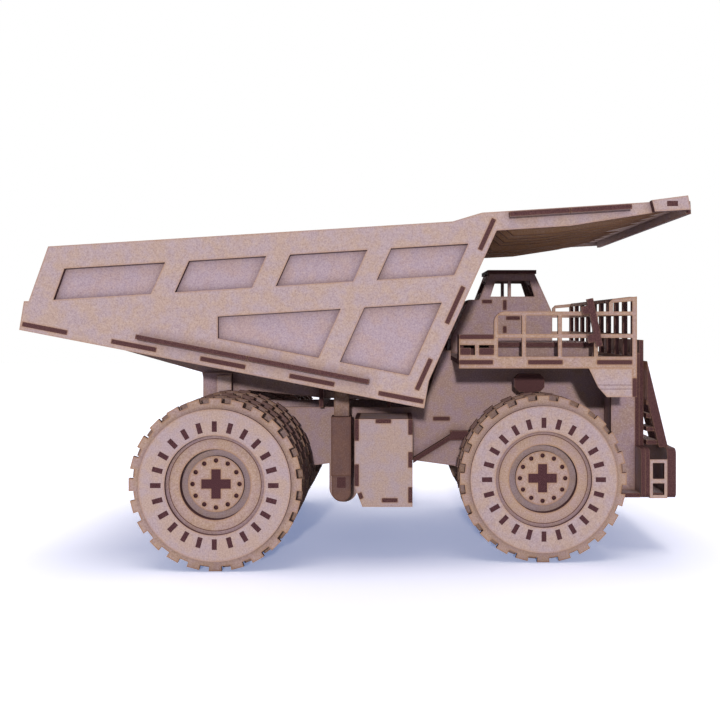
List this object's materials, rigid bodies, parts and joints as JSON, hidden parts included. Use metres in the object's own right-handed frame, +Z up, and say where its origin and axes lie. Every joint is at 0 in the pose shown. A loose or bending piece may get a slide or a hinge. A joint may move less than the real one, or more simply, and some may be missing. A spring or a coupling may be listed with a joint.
{
  "type": "mining dump truck model",
  "caption": "Laser-cut wooden model of a mining dump truck in interlocking sheet plates, with rolling wheel sets and a bed that tips on two telescopic hoists.",
  "frame": {"origin": "on the ground under the middle of the model's outer box", "axes": "+X forward, +Y to the truck's left, +Z up"},
  "size_m": [0.4272, 0.276, 0.2368],
  "materials": {
    "mdf": "bare laser-cut fibreboard with burnt edges"
  },
  "bodies": {
    "chassis": {"bumper_base": "mdf", "bumper_guard": "mdf", "bumper_sides": "mdf", "cab_end_plates": "mdf", "cab_leaning_frames": "mdf", "cab_roof": "mdf", "cab_side_plates": "mdf", "chassis_cross_plates": "mdf", "chassis_shelf": "mdf", "chassis_side_plates": "mdf", "deck_front_rail": "mdf", "deck_hood": "mdf", "deck_lockers": "mdf", "deck_plate": "mdf", "deck_side_rails": "mdf", "drop_plates": "mdf", "grille_backing": "mdf", "grille_front": "mdf", "housing_rear_walls": "mdf", "housing_side_panels": "mdf", "ladder_stringers": "mdf", "ladder_treads": "mdf", "mirror_posts": "mdf", "pivot_strips": "mdf", "suspension_struts": "mdf", "tank_end_plates": "mdf", "tank_lids": "mdf", "tank_side_plates": "mdf"},
    "bed": {"bed_side_frames": "mdf", "bed_side_skins": "mdf", "bed_floor": "mdf", "bed_front_wall": "mdf", "canopy_sheet": "mdf", "canopy_ribs": "mdf", "canopy_nose": "mdf", "bed_side_trim": "mdf", "bed_keel_beams": "mdf", "bed_bearers": "mdf", "bed_pivot_pin": "mdf", "hoist_forks": "mdf"},
    "rear_wheels": {"rear_axle": "mdf", "rear_rims_and_hubs": "mdf", "rear_sidewalls": "mdf", "rear_wheel_discs": "mdf", "tyre_rear_left_inner": "mdf", "tyre_rear_left_outer": "mdf", "tyre_rear_right_inner": "mdf", "tyre_rear_right_outer": "mdf"},
    "front_wheels": {"front_axle": "mdf", "front_rims_and_hubs": "mdf", "front_sidewalls": "mdf", "front_wheel_discs": "mdf", "tyre_front_left": "mdf", "tyre_front_right": "mdf"},
    "hoist_tube_right": {"hoist_tube_right": "mdf"},
    "hoist_sleeve_right": {"hoist_sleeve_right": "mdf"},
    "hoist_rod_right": {"hoist_rod_right": "mdf"},
    "hoist_tube_left": {"hoist_tube_left": "mdf"},
    "hoist_sleeve_left": {"hoist_sleeve_left": "mdf"},
    "hoist_rod_left": {"hoist_rod_left": "mdf"}
  },
  "joints": [
    {"name": "rear_axle_roll", "type": "hinge", "parent": "chassis", "child": "rear_wheels", "pos_m": [-0.093, 0, 0.05507], "axis": [0, 1, 0], "continuous": true},
    {"name": "front_axle_roll", "type": "hinge", "parent": "chassis", "child": "front_wheels", "pos_m": [0.119, 0, 0.05507], "axis": [0, 1, 0], "continuous": true},
    {"name": "bed_tip", "type": "hinge", "parent": "chassis", "child": "bed", "pos_m": [-0.1074, 0, 0.102], "axis": [0, -1, 0], "range_deg": [0, 40]},
    {"name": "hoist_swing_right", "type": "hinge", "parent": "chassis", "child": "hoist_tube_right", "pos_m": [-0.016, -0.06, 0.047], "axis": [0, -1, 0], "range_deg": [0, 12.5]},
    {"name": "sleeve_slide_right", "type": "slide", "parent": "hoist_tube_right", "child": "hoist_sleeve_right", "axis": [0, 0, 1], "range_m": [0, 0.0315]},
    {"name": "rod_slide_right", "type": "slide", "parent": "hoist_sleeve_right", "child": "hoist_rod_right", "axis": [0, 0, 1], "range_m": [0, 0.0315]},
    {"name": "hoist_swing_left", "type": "hinge", "parent": "chassis", "child": "hoist_tube_left", "pos_m": [-0.016, 0.06, 0.047], "axis": [0, -1, 0], "range_deg": [0, 12.5]},
    {"name": "sleeve_slide_left", "type": "slide", "parent": "hoist_tube_left", "child": "hoist_sleeve_left", "axis": [0, 0, 1], "range_m": [0, 0.0315]},
    {"name": "rod_slide_left", "type": "slide", "parent": "hoist_sleeve_left", "child": "hoist_rod_left", "axis": [0, 0, 1], "range_m": [0, 0.0315]}
  ],
  "couplings": [
    {"joint": "hoist_swing_right", "follows": "bed_tip", "ratio": 0.295},
    {"joint": "sleeve_slide_right", "follows": "bed_tip", "m_per_rad": 0.0435},
    {"joint": "rod_slide_right", "follows": "bed_tip", "m_per_rad": 0.0435},
    {"joint": "hoist_swing_left", "follows": "bed_tip", "ratio": 0.295},
    {"joint": "sleeve_slide_left", "follows": "bed_tip", "m_per_rad": 0.0435},
    {"joint": "rod_slide_left", "follows": "bed_tip", "m_per_rad": 0.0435}
  ]
}
